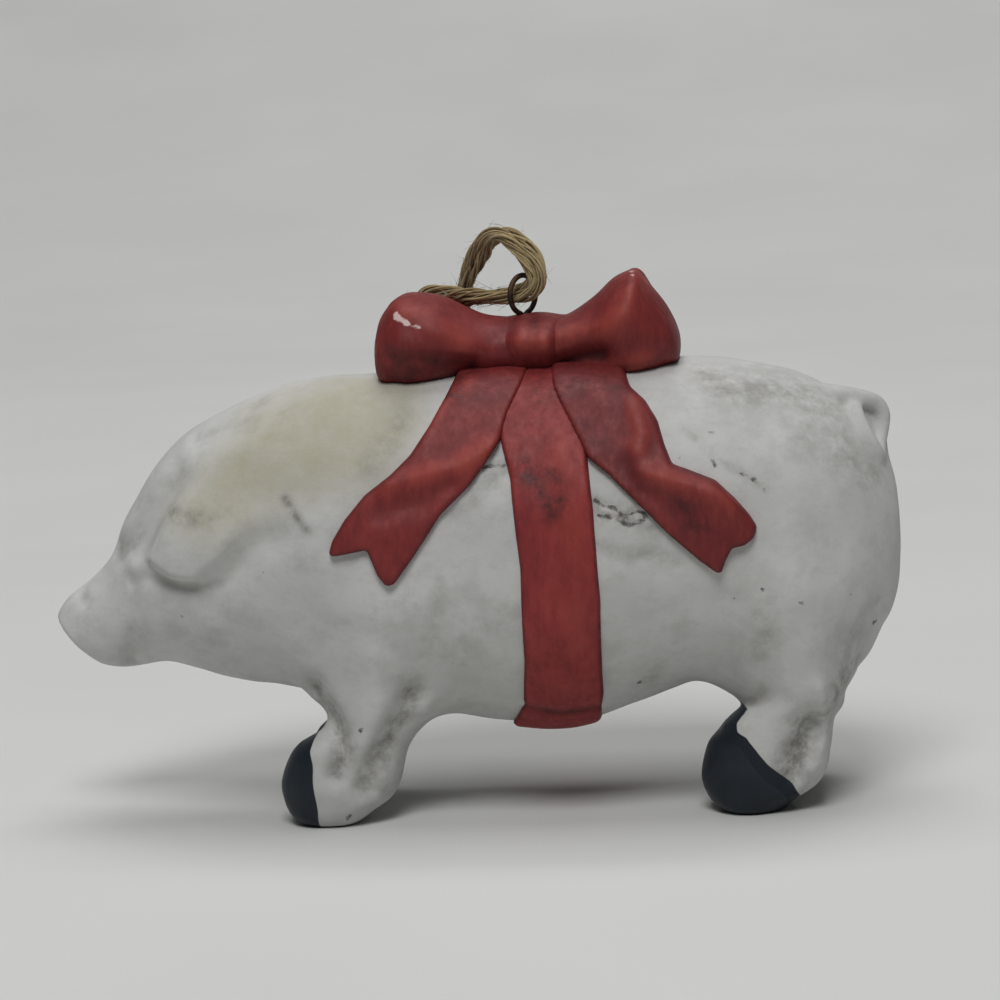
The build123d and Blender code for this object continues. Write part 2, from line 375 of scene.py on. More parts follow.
# %% [markdown]
# ## Uneven clay
# A cast figure is wiped and trimmed by hand before it is fired, so no part of it is quite even. A
# bump in the material would only shade that, so low swells go into the clay itself, broad ones
# and finer ones, from smooth random numbers with a fixed seed.


# %% Uneven clay
def swells(spacing, seed):
    """A smooth random field with a swell every so many millimetres."""
    counts = [int(np.ceil(length * step / spacing)) + 3 for length in lattice_shape]
    field = np.random.default_rng(seed).normal(0, 1, counts).astype(np.float32)
    for axis, length in enumerate(lattice_shape):
        where = np.arange(length) * step / spacing
        low = where.astype(int)
        share = smooth_step(0, 1, where - low).astype(np.float32)
        share = np.expand_dims(share, [other for other in range(3) if other != axis])
        field = np.take(field, low, axis) * (1 - share) + np.take(field, low + 1, axis) * share
    return field


broad_height, broad_spacing, broad_seed = 0.20, 9.0, 3
fine_height, fine_spacing, fine_seed = 0.06, 3.2, 5
broad_swells = broad_height * swells(broad_spacing, broad_seed)
fine_swells = fine_height * swells(fine_spacing, fine_seed)
pig = pig + broad_swells + fine_swells
print("swells up to", round(float(broad_swells.max()), 2), "mm")

# %% [markdown]
# ## Drawing on the side of the figure
# Creases, folds and stains are easiest to give as a draughtsman would: lines and patches on a side
# view. A line is a smooth stroke that fades with the distance from its points, and a patch is the
# signed distance from a closed outline. A drawing is pressed into the field from both sides.


# %% Strokes and patches
side_along = along[:, 0, 0][:, None]
side_height = height[0, 0, :][None, :]


def segment_distance(points):
    """Distance in side view from the broken line through the points."""
    nearest = np.full((side_along.shape[0], side_height.shape[1]), 1e6, np.float32)
    for (a, b), (c, d) in zip(points, points[1:]):
        length = max((c - a) ** 2 + (d - b) ** 2, 1e-9)
        share = np.clip(((side_along - a) * (c - a) + (side_height - b) * (d - b)) / length, 0, 1)
        squared = (side_along - a - share * (c - a)) ** 2 + (side_height - b - share * (d - b)) ** 2
        nearest = np.minimum(nearest, squared)
    return np.sqrt(nearest)


def stroke(points, width):
    """A soft line through the points, 1 along its middle, or a soft spot where there is only one."""
    line = smooth_rows(points, 6) if len(points) > 1 else 2 * points
    return np.exp(-((segment_distance(line) / width) ** 2))


def added(strokes):
    """Sum of strokes, each given as its strength, points and width."""
    return sum(strength * stroke(points, width) for strength, points, width in strokes)


def strongest(strokes):
    """The strongest of some strokes at each place."""
    return np.maximum.reduce([strength * stroke(points, width) for strength, points, width in strokes])


def patch(points):
    """Signed distance from a closed outline, negative inside."""
    loop = list(points) + [points[0]]
    inside = np.zeros((side_along.shape[0], side_height.shape[1]), bool)
    for (a, b), (c, d) in zip(loop, loop[1:]):
        if b == d:
            continue
        spans = (side_height < b) != (side_height < d)
        inside ^= spans & (side_along < a + (side_height - b) * (c - a) / (d - b))
    distance = segment_distance(loop)
    return np.where(inside, -distance, distance)


off_seam = smooth_step(1.0, 3.0, np.abs(out))
near_side = smooth_step(-1.0, -3.0, out)


def side_to_side(drawing):
    """A side view drawing spread through the figure."""
    return drawing[:, None, :].astype(np.float32)


def pressed(field, drawing, weight):
    """The field with a side view drawing raised on it, by its value in millimetres."""
    return field - side_to_side(drawing) * weight


# %% [markdown]
# ## Face and ears
# The mould left a soft brow, a closed eye, a drooping ear with a crisp front edge, a mouth and a
# jowl. Separate ear meshes would show a seam, so the ears are raised from the head itself: full
# height at the tip and the crisp edges, nothing where they melt into the neck.

# %% Face and ears
ear_front = [
    (23.5, 45.5), (19.6, 42.0), (17.5, 39.3), (15.2, 35.8), (13.7, 33.2), (13.3, 32.4), (14.2, 31.5),
    (16.3, 30.2), (18.1, 29.9), (19.5, 29.8), (20.9, 29.8), (24.0, 29.5), (40.0, 29.0), (40.0, 50.0),
    (24.0, 50.0),
]
ear_rear = [
    (0.0, 55.0), (0.0, 25.0), (18.5, 27.0), (20.9, 30.2), (22.4, 31.4), (24.3, 33.4), (26.1, 35.3),
    (27.9, 36.0), (29.6, 36.0), (34.0, 36.5), (36.0, 55.0),
]
ear_shape = smooth_step(0.5, -1.0, patch(ear_front)) * smooth_step(2.0, -1.8, patch(ear_rear))
ear_fade = smooth_step(45.0, 33.0, side_height + 0.25 * (side_along - 20))
ear_fade = ear_fade * smooth_step(33.0, 24.0, side_along)
ear_relief = 1.5
brow_groove = [(17.6, 42.0), (16.8, 41.0), (14.4, 37.9), (12.2, 34.6), (9.4, 32.6)]
neck_crease = [(19.5, 45.9), (22.9, 47.0), (25.2, 47.8), (26.8, 49.9)]
mouth_line = [(10.1, 23.4), (9.8, 21.9), (9.3, 19.4)]
face = ear_relief * ear_shape * ear_fade + added([
    (-0.7, brow_groove, 1.5),
    (0.5, [(11.2, 31.4)], 1.3),
    (-0.45, [(11.3, 29.6), (13.1, 30.2), (16.2, 29.6), (19.0, 29.4)], 0.9),
    (-0.7, [(22.6, 30.0), (25.2, 32.6), (27.4, 34.6), (30.6, 35.4)], 1.8),
    (0.6, [(14.5, 25.5)], 5.0),
    (-0.55, mouth_line, 1.0),
    (-0.45, [(20.7, 27.9), (22.2, 26.2), (23.0, 24.1), (21.9, 22.2)], 1.8),
    (-0.35, neck_crease, 1.1),
    (-0.45, [(4.0, 26.9)], 1.0),
])
print("face relief from", round(float(face.min()), 2), "to", round(float(face.max()), 2), "mm")

# %% Leg folds and bulges
front_groove = [(32.6, 16.9), (33.9, 14.7), (35.0, 12.5), (35.6, 10.6), (35.3, 8.6), (34.8, 7.0)]
rear_groove = [(44.2, 16.2), (43.0, 13.8), (40.9, 10.6), (39.3, 8.4), (38.0, 5.3)]
shoulder_fold = [(48.9, 30.0), (47.6, 25.0), (46.2, 20.8), (44.2, 16.2)]
hind_hollow = [(89.4, 10.4), (88.8, 8.6), (87.9, 6.9), (87.2, 5.0)]
hind_crease = [(83.5, 13.4), (86.5, 14.2), (89.5, 13.6), (92.5, 14.6)]
flank_fold = [(66.8, 32.9), (69.9, 31.7), (73.1, 32.1), (75.6, 30.7)]
flank = added([
    (0.9, [(39.5, 25.0)], 8.0),
    (0.9, [(89.0, 24.0)], 9.0),
    (0.6, [(40.3, 20.0), (39.8, 15.5), (38.9, 11.0)], 2.4),
    (-1.0, front_groove, 1.4),
    (-1.0, rear_groove, 1.5),
    (-0.35, shoulder_fold, 2.2),
    (-1.2, hind_hollow, 1.7),
    (-0.15, hind_crease, 1.4),
    (0.7, [(90.3, 5.7)], 1.6),
    (0.5, [(91.5, 15.0), (91.9, 11.0), (91.3, 8.0)], 1.2),
    (-0.5, [(83.1, 30.8), (81.3, 25.0), (80.2, 18.6)], 2.8),
    (0.3, [(54.3, 38.0), (54.4, 32.3), (54.8, 26.0)], 1.6),
    (-0.35, flank_fold, 1.0),
])
pig = pressed(pig, face + flank, off_seam)
print("pig with relief", round(float(pig.min()), 2))

# %% [markdown]
# ## Cracks
# Firing left a few short dark cracks beside the ribbon. They are only on the near side, so they
# are pressed in with the near side's weight alone.

# %% Cracks
crack_lines = [
    [(66.8, 38.4), (67.6, 37.8), (69.1, 37.3), (70.1, 36.4), (71.7, 36.9), (73.0, 36.3)],
    [(67.0, 36.6), (68.4, 36.4), (69.6, 35.8), (71.0, 35.4), (72.4, 36.2)],
    [(53.8, 42.3), (55.2, 42.5), (56.8, 42.4)],
]
side_crease = [(50.6, 37.4), (52.8, 38.6), (54.7, 40.1), (56.6, 41.6)]
crack_depth = 0.25
cracks = np.minimum(added([(1, points, 0.35) for points in crack_lines]), 1) + stroke(side_crease, 0.8)
pig = pressed(pig, -crack_depth * cracks, near_side)
print("cracks", len(crack_lines))

# %% [markdown]
# ## Tail
# The tail is a thin roll of clay curled once and laid on the rump. A tube of rings along the curl
# is melded into the body with a small fillet, as a potter would smear its root.


# %% Tail
def carried_axes(line):
    """Two directions across a line, carried along it without twisting, and its own direction."""
    heading = np.gradient(line, axis=0)
    heading /= np.linalg.norm(heading, axis=1)[:, None]
    across = np.cross(heading[0], [0.31, 0.17, 0.93])
    first = []
    for ahead in heading:
        across = across - ahead * across.dot(ahead)
        across /= np.linalg.norm(across)
        first.append(across)
    first = np.array(first)
    return first, np.cross(heading, first), heading


def tube_rings(line, radii, around=16):
    """Rings of a round tube along a line of points."""
    first, second, _ = carried_axes(line)
    angles = np.linspace(0, 2 * pi, around, endpoint=False)[None, :, None]
    round_it = np.cos(angles) * first[:, None] + np.sin(angles) * second[:, None]
    return line[:, None] + radii[:, None, None] * round_it


# Along, out, height and radius, from the root on the back round to the tip
tail_curl = smooth_rows([
    (91.0, -1.6, 48.0, 1.3),
    (94.4, -1.8, 47.4, 1.3),
    (97.2, -1.6, 46.9, 1.15),
    (98.9, -0.9, 46.2, 1.05),
    (99.6, -0.8, 44.9, 1.0),
    (99.4, -1.2, 43.3, 1.0),
    (99.0, -2.3, 41.6, 1.0),
    (98.9, -3.9, 40.3, 1.05),
    (98.4, -4.9, 41.3, 1.1),
    (97.5, -4.9, 43.0, 1.1),
    (96.7, -4.0, 44.8, 1.05),
    (96.4, -2.8, 46.2, 0.95),
])
tail = loft_field(tube_rings(tail_curl[:, :3], tail_curl[:, 3]))
curl_middle = np.array([97.6, -1.6, 43.2])
curl_normal = np.array([0.70, -0.63, 0.33])
curl_radius = 3.3
curl_thickness = 0.95
from_curl = [along - curl_middle[0], out - curl_middle[1], height - curl_middle[2]]
off_plane = sum(part * normal for part, normal in zip(from_curl, curl_normal))
squared = sum(part**2 for part in from_curl) - off_plane**2
curl_floor = np.sqrt(squared / curl_radius**2 + off_plane**2 / curl_thickness**2) - 1
floor_fillet = 0.8
tail_fillet = 0.35
pig = meld(meld(pig, curl_floor.astype(np.float32), floor_fillet), tail, tail_fillet)
print("tail curl", len(tail_curl), "rings")

# %% [markdown]
# ## Trimming
# The feet are rubbed flat, the snout is cut off flat with two pressed nostrils, and a vent under the
# belly lets the kiln's heat out of the hollow. A Boolean modifier could do that, but it leaves hard
# edges. Keeping what two fields have in common rounds each edge by a chosen reach.

# %% Trimming
body_half_width = 17.6
foot_edge = 0.3
flank_edge = 1.0
rump_edge = 0.3
snout_rounding = 0.4
vent_edge = 0.4
pig = keep_both(pig, -height, foot_edge)
pig = keep_both(pig, np.abs(out) - body_half_width, flank_edge)
pig = keep_both(pig, along - body_length, rump_edge)
snout_edge = (0.15, 24.6)
snout_facing = (-0.744, -0.668)
snout_disc = (along - snout_edge[0]) * snout_facing[0] + (height - snout_edge[1]) * snout_facing[1]
pig = keep_both(pig, snout_disc, snout_rounding)
vent_along = 72.0
vent_radius = 2.0
vent_top = 17.0
vent = np.sqrt((along - vent_along) ** 2 + out**2) - vent_radius
vent = np.maximum(vent, height - vent_top)
nostril_along, nostril_out, nostril_height = 1.9, 1.7, 22.4
nostril_radius = 0.9
nostril_depth = 0.6
for side in (-1, 1):
    squared = (along - nostril_along) ** 2 + (out - side * nostril_out) ** 2 + (height - nostril_height) ** 2
    pig = pig + nostril_depth * np.exp(-squared / nostril_radius**2)
clay = keep_both(pig, -vent, vent_edge)
print("vent of", 2 * vent_radius, "mm under the belly")

# %% [markdown]
# ## From field to mesh
# OpenVDB, which Blender carries with it, turns the lattice into an even quad mesh where the field
# is nought. The mesh is moved into the frame and shaded smooth.


# %% Skins
def new_mesh(name, points, faces):
    """A smooth shaded mesh object from points in metres."""
    mesh = bpy.data.meshes.new(name)
    mesh.from_pydata(points, [], faces)
    mesh.polygons.foreach_set("use_smooth", np.ones(len(mesh.polygons), bool))
    mesh.update()
    thing = bpy.data.objects.new(name, mesh)
    bpy.context.scene.collection.objects.link(thing)
    return thing


def new_piece(name, points, faces, body_name, nodes):
    """A mesh object in the frame that rides on a body and stands for the given CAD nodes."""
    piece = new_mesh(name, ((points + [snout_tip, 0, 0]) * MILLIMETRE).tolist(), faces)
    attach(piece, body_name)
    if nodes:
        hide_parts(*nodes)
    return piece


def skin(name, field, nodes):
    """A piece of the figure from a field, and its points in millimetres."""
    inside = np.argwhere(field < 0)
    low = np.maximum(inside.min(0) - 3, 0)
    high = np.minimum(inside.max(0) + 4, lattice_shape)
    grid = openvdb.FloatGrid(background=step * band_steps)
    grid.transform = lattice_scale
    block = field[low[0]:high[0], low[1]:high[1], low[2]:high[2]]
    block = np.ascontiguousarray(block, dtype=np.float32)
    grid.copyFromArray(block, ijk=tuple(int(n) for n in lattice_low + low))
    points, faces = grid.convertToQuads(0.0)
    points = points.astype(float)
    faces = faces.astype(int)
    a, b, c, d = (points[faces[:, n]] for n in range(4))
    if np.einsum("ij,ij->", a, np.cross(b - a, c - a) + np.cross(c - a, d - a)) < 0:
        faces = faces[:, ::-1]
    piece = new_piece(name, points, faces.tolist(), "figure", nodes)
    print(name, len(faces), "faces")
    return piece, points


def at_points(field, points, axes=(0, 1, 2)):
    """Values of a field, on those axes of the lattice, at points in millimetres."""
    where = points[:, axes] / step - lattice_low[list(axes)]
    low = np.clip(np.floor(where).astype(int), 0, np.array(field.shape) - 2)
    share = where - low
    total = np.zeros(len(points))
    for corner in np.ndindex(*(2,) * len(axes)):
        weight = np.prod(np.where(corner, share, 1 - share), axis=1)
        total += weight * field[tuple((low + corner).T)]
    return total


def on_side_view(drawing, points):
    """Values of a side view drawing at points in millimetres."""
    return at_points(drawing, points, (0, 2))


def note(piece, name, values):
    """Values kept on a piece's points for its material."""
    layer = piece.data.attributes.new(name, "FLOAT", "POINT")
    layer.data.foreach_set("value", np.asarray(values, np.float32))


# %% Pig mesh
clay_nodes = ["body_near_half", "body_far_half", "ear_near", "ear_far", "tail"]
for leg_name in ("front", "hind"):
    clay_nodes += [f"leg_{leg_name}_near", f"leg_{leg_name}_far"]
pig_piece, pig_points = skin("bisque_pig", clay, clay_nodes)

# %% [markdown]
# ## Ribbon
# The ribbon is not cloth: it is moulded in the clay, less than a millimetre proud, and painted.
# So it is cut from the pig's own field, grown outward by its relief and kept inside an outline
# drawn in side view. Folds are strokes added to that relief.

# %% Ribbon band
band_relief = 0.6
end_relief = 0.9
ribbon_depth = 0.8
ribbon_edge = 0.5
ribbon_half_width = 18.25
band_outline = [
    (55.4, 56.0), (55.8, 46.5), (57.2, 40.9), (58.0, 30.8), (57.7, 20.0), (56.9, 13.9), (55.9, 12.1),
    (54.9, 10.5), (54.9, 4.0), (64.8, 4.0), (64.8, 9.0), (65.5, 11.1), (66.3, 15.1), (66.9, 26.9),
    (66.6, 37.3), (66.0, 44.0), (65.8, 56.0),
]


def ribbon_field(outline, relief, folds):
    """A thin raised ribbon on the pig inside an outline."""
    proud = pressed(pig, relief + folds, np.float32(1))
    laid = keep_both(proud, side_to_side(patch(outline)), ribbon_edge)
    return np.maximum(np.maximum(laid, -(pig + ribbon_depth)), np.abs(out) - ribbon_half_width)


hem_line = [(56.6, 13.8), (60.9, 12.6), (66.2, 12.9)]
band_folds = added([(-0.4, hem_line, 0.6), (0.15, [(63.5, 44.0), (64.0, 34.0), (63.8, 22.0)], 1.8)])
band_field = ribbon_field(band_outline, band_relief, band_folds)
print("band field", round(float(band_field.min()), 2))

# %% Ribbon ends
front_end_outline = [
    (51.4, 54.0), (49.6, 50.1), (47.9, 47.1), (45.7, 44.0), (43.4, 41.9), (40.4, 39.8), (38.0, 37.1),
    (36.5, 34.8), (36.0, 33.3), (36.6, 33.0), (40.5, 33.7), (41.0, 32.4), (41.6, 30.7), (42.6, 29.4),
    (43.5, 29.7), (46.0, 32.9), (49.1, 37.3), (52.6, 40.5), (54.3, 42.6), (56.1, 45.2), (57.0, 48.3),
    (58.4, 51.1), (59.4, 54.0),
]
rear_end_outline = [
    (61.2, 54.0), (62.0, 50.7), (62.9, 49.1), (64.0, 47.1), (66.1, 43.1), (68.6, 41.0), (71.9, 37.6),
    (75.2, 34.1), (78.4, 31.1), (80.4, 29.5), (80.8, 29.6), (81.3, 30.9), (82.1, 32.3), (83.5, 32.5),
    (84.6, 33.3), (85.0, 34.5), (84.2, 35.9), (82.6, 37.9), (80.5, 40.0), (77.7, 41.2), (75.7, 42.0),
    (74.9, 44.0), (74.1, 46.7), (72.7, 48.8), (70.9, 50.3), (69.3, 54.0),
]
front_folds = added([
    (0.35, [(43.3, 41.0), (47.6, 42.1), (51.3, 42.8), (55.0, 44.9)], 1.3),
    (-0.25, [(42.6, 37.6), (46.6, 38.8), (50.4, 40.6)], 1.4),
    (0.25, [(46.9, 46.8), (48.4, 48.4), (50.4, 50.2), (52.4, 51.6)], 1.0),
])
rear_folds = added([
    (0.35, [(72.4, 41.2), (76.0, 40.4), (80.1, 38.8), (82.7, 37.0)], 1.3),
    (-0.25, [(70.4, 41.6), (74.0, 38.0), (78.0, 35.4)], 1.4),
    (0.25, [(71.9, 43.9), (72.4, 45.8), (71.4, 48.8)], 1.0),
])
end_shapes = {"front": (front_end_outline, front_folds), "rear": (rear_end_outline, rear_folds)}
print("ribbon ends", list(end_shapes))

# %% [markdown]
# ## Bow
# Each loop of the bow is a soft pillow of clay with a ridge where the ribbon folds over. The loops
# are lofts across the back, and the ridges and the tucked-under lower edge are strokes in side view.
# The knot is melded with the loops, and sunk a hair so that only its fillet shows on them.

# %% Bow
# Along, underside height, top height, half thickness
front_loop_stations = [
    (40.9, 51.4, 57.0, 4.4),
    (41.4, 50.7, 58.7, 5.7),
    (42.3, 49.9, 60.0, 6.7),
    (43.4, 49.4, 61.0, 7.5),
    (45.0, 49.2, 61.5, 8.1),
    (48.4, 49.5, 61.1, 7.8),
    (51.6, 50.2, 59.5, 6.7),
    (54.0, 51.0, 58.5, 6.0),
    (58.0, 51.4, 58.0, 5.7),
]
rear_loop_stations = [
    (61.0, 51.8, 57.8, 5.7),
    (63.5, 51.4, 58.2, 5.9),
    (66.6, 50.6, 60.1, 6.4),
    (68.9, 50.1, 62.1, 7.5),
    (70.6, 50.0, 62.9, 7.9),
    (71.6, 50.0, 63.1, 7.8),
    (72.6, 50.4, 62.0, 7.3),
    (74.7, 51.4, 59.3, 6.2),
    (75.9, 52.0, 57.0, 5.0),
    (76.4, 52.6, 55.4, 3.8),
]
knot_stations = [
    (56.4, 52.6, 57.0, 4.8),
    (57.4, 51.7, 58.0, 5.9),
    (59.7, 51.0, 58.6, 6.5),
    (62.0, 51.7, 58.0, 5.9),
    (63.0, 52.6, 57.0, 4.8),
]


def across_rings(stations):
    """Rings that stand across the back."""
    rings = []
    for where, low, top, half_thickness in smooth_rows(stations):
        rings.append(oval((where, 0, (low + top) / 2), (0, half_thickness, 0), (0, 0, (top - low) / 2)))
    return np.array(rings)


# %% Folds of the bow
front_tuck_outline = [
    (40.0, 55.9), (42.0, 55.8), (46.8, 55.2), (50.2, 54.6), (53.1, 54.0), (54.0, 49.0), (40.0, 49.0),
]
front_tuck = smooth_step(0.8, -1.2, patch(front_tuck_outline)) * smooth_step(41.2, 43.6, side_along)
rear_tuck = [(63.4, 53.0), (65.2, 53.6), (67.6, 53.8)]
knot_left = [(57.1, 57.7), (56.6, 55.9), (56.9, 54.0)]
knot_right = [(63.0, 57.0), (62.7, 55.2), (62.8, 53.4)]
front_loop_folds = -0.9 * front_tuck + added([
    (0.5, [(44.0, 60.2), (46.0, 59.9), (48.1, 58.5), (50.3, 56.9), (52.4, 55.6)], 1.4),
])
rear_loop_folds = added([
    (0.6, [(62.9, 56.3), (66.3, 56.5), (68.5, 57.2), (70.5, 59.3), (71.7, 61.9)], 1.4),
    (-0.65, rear_tuck, 1.1),
    (0.6, [(63.1, 51.6), (66.0, 51.8), (70.0, 52.2), (73.0, 52.9)], 1.2),
])
knot_folds = added([
    (0.7, [(58.4, 56.0)], 1.5),
    (0.7, [(61.1, 55.7)], 1.5),
    (-0.25, [(59.8, 57.6), (59.8, 55.2), (59.6, 53.0)], 0.8),
    (-0.25, knot_left, 1.0),
    (-0.6, knot_right, 0.8),
])
print("folds of the bow up to", round(float(rear_loop_folds.max()), 2), "mm")

# %% Bow fields
bow_depth = 1.0
knot_along = 59.7
knot_reach = 5.5
knot_fillet = 1.4
knot_sink = 0.05


def bow_form(stations):
    """Distance field of a bow piece without folds."""
    return loft_field(across_rings(stations))


def trimmed(field):
    """A bow piece cut off a little inside the back."""
    return np.maximum(field, -(pig + bow_depth))


loop_front = trimmed(pressed(bow_form(front_loop_stations), front_loop_folds, off_seam))
loop_rear = trimmed(pressed(bow_form(rear_loop_stations), rear_loop_folds, off_seam))
knot = meld(trimmed(bow_form(knot_stations)), np.minimum(loop_front, loop_rear), knot_fillet) + knot_sink
knot = np.maximum(pressed(knot, knot_folds, near_side), np.abs(along - knot_along) - knot_reach)
print("bow fields", loop_front.shape)

# %% Ribbon meshes
end_gap = 2.0
ribbon_pieces = []


def add_ribbon(node_name, field, ridges, deepness, outline=None):
    """One painted piece of the ribbon, kept with what its paint needs to know."""
    piece, points = skin(f"painted_{node_name}", field, [node_name])
    note(piece, "deep", np.full(len(points), deepness))
    ribbon_pieces.append((piece, points, field, ridges, outline))


add_ribbon("ribbon_band", band_field, 3 * band_folds, 0.0, band_outline)
for end_name, deepness in (("front", 0.40), ("rear", 0.62)):
    outline, folds = end_shapes[end_name]
    end_field = ribbon_field(outline, end_relief, folds)
    for side_name, side in (("near", -1), ("far", 1)):
        one_side = np.maximum(end_field, end_gap - side * out)
        add_ribbon(f"ribbon_end_{end_name}_{side_name}", one_side, 2 * folds, deepness, outline)
add_ribbon("bow_loop_front", loop_front, 1.2 * front_loop_folds, 0.50)
add_ribbon("bow_loop_rear", loop_rear, 1.2 * rear_loop_folds, 0.60)
add_ribbon("bow_knot", knot, 1.2 * knot_folds, 0.55)
print("ribbon pieces", len(ribbon_pieces))

# %% [markdown]
# ## Hooves
# The hooves are only paint, brushed on the toes. A film a few hundredths of a millimetre thick is
# lifted off the leg inside the painted zone. A mesh cuts such a film off in steps, so its edge stops
# short of the line, and the clay's own finish paints the last bit by the distance kept on its points.

# %% Hooves
paint_film = 0.04
paint_depth = 0.7
film_dip = 0.2
film_inset = 0.8
hoof_zones = {
    "front": [
        (20.0, -3.0), (32.4, -3.0), (32.3, 1.0), (32.1, 4.6), (32.0, 7.7), (31.7, 9.4), (33.0, 12.6),
        (20.0, 12.6),
    ],
    "hind": [
        (75.0, -3.0), (88.6, -3.0), (88.4, 2.2), (87.6, 3.7), (86.1, 5.0), (84.9, 6.2), (83.8, 7.8),
        (82.6, 9.5), (81.6, 10.0), (81.6, 10.9), (82.2, 11.7), (82.8, 12.3), (75.0, 12.3),
    ],
}
# The far hind leg stands further back, so the belly beside it comes lower
far_paint_tops = {"front": 12.6, "hind": 10.0}
brush_wobble = 0.07 * np.sin(side_height * 1.3 + side_along)
unpainted = 9.0
hoof_pieces = []
hoof_distance = np.full(len(pig_points), unpainted)
for leg_name, near_zone in hoof_zones.items():
    setback = far_setbacks[leg_name]
    far_zone = [(where + setback, min(level, far_paint_tops[leg_name])) for where, level in near_zone]
    for side_name, side, zone in (("near", -1, near_zone), ("far", 1, far_zone)):
        painted = patch(zone) + brush_wobble
        painted_here = side_to_side(painted)
        film = pig - paint_film + film_dip * smooth_step(-2 * film_inset, -film_inset, painted_here)
        film = np.maximum(film, painted_here + film_inset)
        film = np.maximum(np.maximum(film, -(pig + paint_depth)), np.maximum(-side * out, -height))
        name = f"hoof_{leg_name}_{side_name}"
        hoof_pieces.append(skin(f"painted_{name}", film, [name])[0])
        here = np.where(side * pig_points[:, 1] > 0, on_side_view(painted, pig_points), unpainted)
        hoof_distance = np.minimum(hoof_distance, here)
hoof_blur = 1.2
note(pig_piece, "hoof", np.clip(0.5 - hoof_distance / hoof_blur, 0, 1))
print("hooves", len(hoof_pieces))

# %% [markdown]
# ## Wire eye
# A bit of thin iron wire is bent into a ring and pushed into the soft knot before firing. It is a
# tube along one continuous line: up one leg, round the ring and down the other leg.


# %% Wire eye
def tube_piece(name, tubes, body_name, nodes):
    """One piece made of round tubes with closed ends, each a line of points, its radii and its sides."""
    points = []
    faces = []
    start = 0
    for line, radii, around in tubes:
        rings = tube_rings(line, radii, around)
        last = start + (len(rings) - 1) * around
        points.append(rings.reshape(-1, 3))
        faces += (ring_faces(len(rings), around) + start).tolist()
        faces.append(list(range(start + around - 1, start - 1, -1)))
        faces.append(list(range(last, last + around)))
        start = last + around
    piece = new_piece(name, np.vstack(points), faces, body_name, nodes)
    shades = np.random.default_rng(start).uniform(0, 1, len(tubes))
    note(piece, "shade", np.repeat(shades, [len(part) for part in points]))
    return piece


wire_radius = 0.32
wire_sides = 14
eye_radius = 2.25
eye_middle = np.array([eye_along, 0, eye_height])
eye_sideways = np.array([sin(eye_turn), cos(eye_turn), 0])
upward = np.array([0, 0, 1.0])
ring_start = radians(-78)
ring_end = radians(258)
ring_turn = np.linspace(ring_start, ring_end, 60)
eye_line = [eye_middle + eye_radius * (cos(a) * eye_sideways + sin(a) * upward) for a in ring_turn]
leg_half_gap = 0.42
leg_drops = [1.0, 2.2, 3.6]
leg_in = eye_middle + leg_half_gap * eye_sideways
leg_out = eye_middle - leg_half_gap * eye_sideways
eye_line = [leg_in - (eye_radius + drop) * upward for drop in reversed(leg_drops)] + eye_line
eye_line += [leg_out - (eye_radius + drop) * upward for drop in leg_drops]
eye_tube = (np.array(eye_line), np.full(len(eye_line), wire_radius), wire_sides)
wire_piece = tube_piece("wire_eye", [eye_tube], "figure", ["hanger_eye"])
print("wire eye", len(eye_line), "rings")

# %% [markdown]
# ## Jute twine
# Jute twine is two plies laid round each other, and each ply is a bundle of coarse fibres. A
# twisted texture on a smooth tube looks like plastic, so every bundle is its own thin tube that
# winds round the route, with loose hairs that stand off it.

# %% Twine strands
draw = np.random.default_rng(11)
ply_lay = 34.0
fibre_lay = 16.0
fibres_per_ply = 24
# Shares of the twine's thickness
ply_reach = 0.21
fibre_reach = 0.29
twine_spacing = 0.4
golden_angle = 2.4
fibre_sides = 6


def even_line(points):
    """Points of a line read again at an even spacing, and how far along it each one is."""
    run = np.concatenate([[0], np.cumsum(np.linalg.norm(np.diff(points, axis=0), axis=1))])
    where = np.linspace(0, run[-1], int(run[-1] / twine_spacing) + 1)
    return np.stack([np.interp(where, run, points[:, axis]) for axis in range(3)], 1), where


def twine_tubes(points, thickness):
    """Fibre bundles of two plies that wind round a line."""
    line, run = even_line(points)
    first, second, _ = carried_axes(line)
    tubes = []
    for ply in range(2):
        ply_angle = 2 * pi * run / ply_lay + pi * ply
        for fibre in range(fibres_per_ply):
            depth = fibre_reach * thickness * np.sqrt((fibre + 0.5) / fibres_per_ply)
            sway = draw.normal(0, 0.35) + 0.25 * np.sin(run * draw.uniform(0.3, 0.9) + draw.uniform(0, 6))
            angle = golden_angle * fibre - 2 * pi * run / fibre_lay + sway
            a = ply_reach * thickness * np.cos(ply_angle) + depth * np.cos(angle)
            b = ply_reach * thickness * np.sin(ply_angle) + depth * np.sin(angle)
            radius = thickness * draw.uniform(0.035, 0.07)
            fibre_line = line + a[:, None] * first + b[:, None] * second
            tubes.append((fibre_line, np.full(len(line), radius), fibre_sides))
    return tubes


twine_bundles = twine_tubes(twine_line, twine_diameter)
twine_piece = tube_piece("jute_twine", twine_bundles, "hanger", ["hanger_cord"])
print("twine", len(twine_bundles), "fibre bundles")

# %% Loose fibres
hair_count = 480
hair_points = 7
hair_sides = 4
# Share of the twine's thickness
hair_root = 0.40


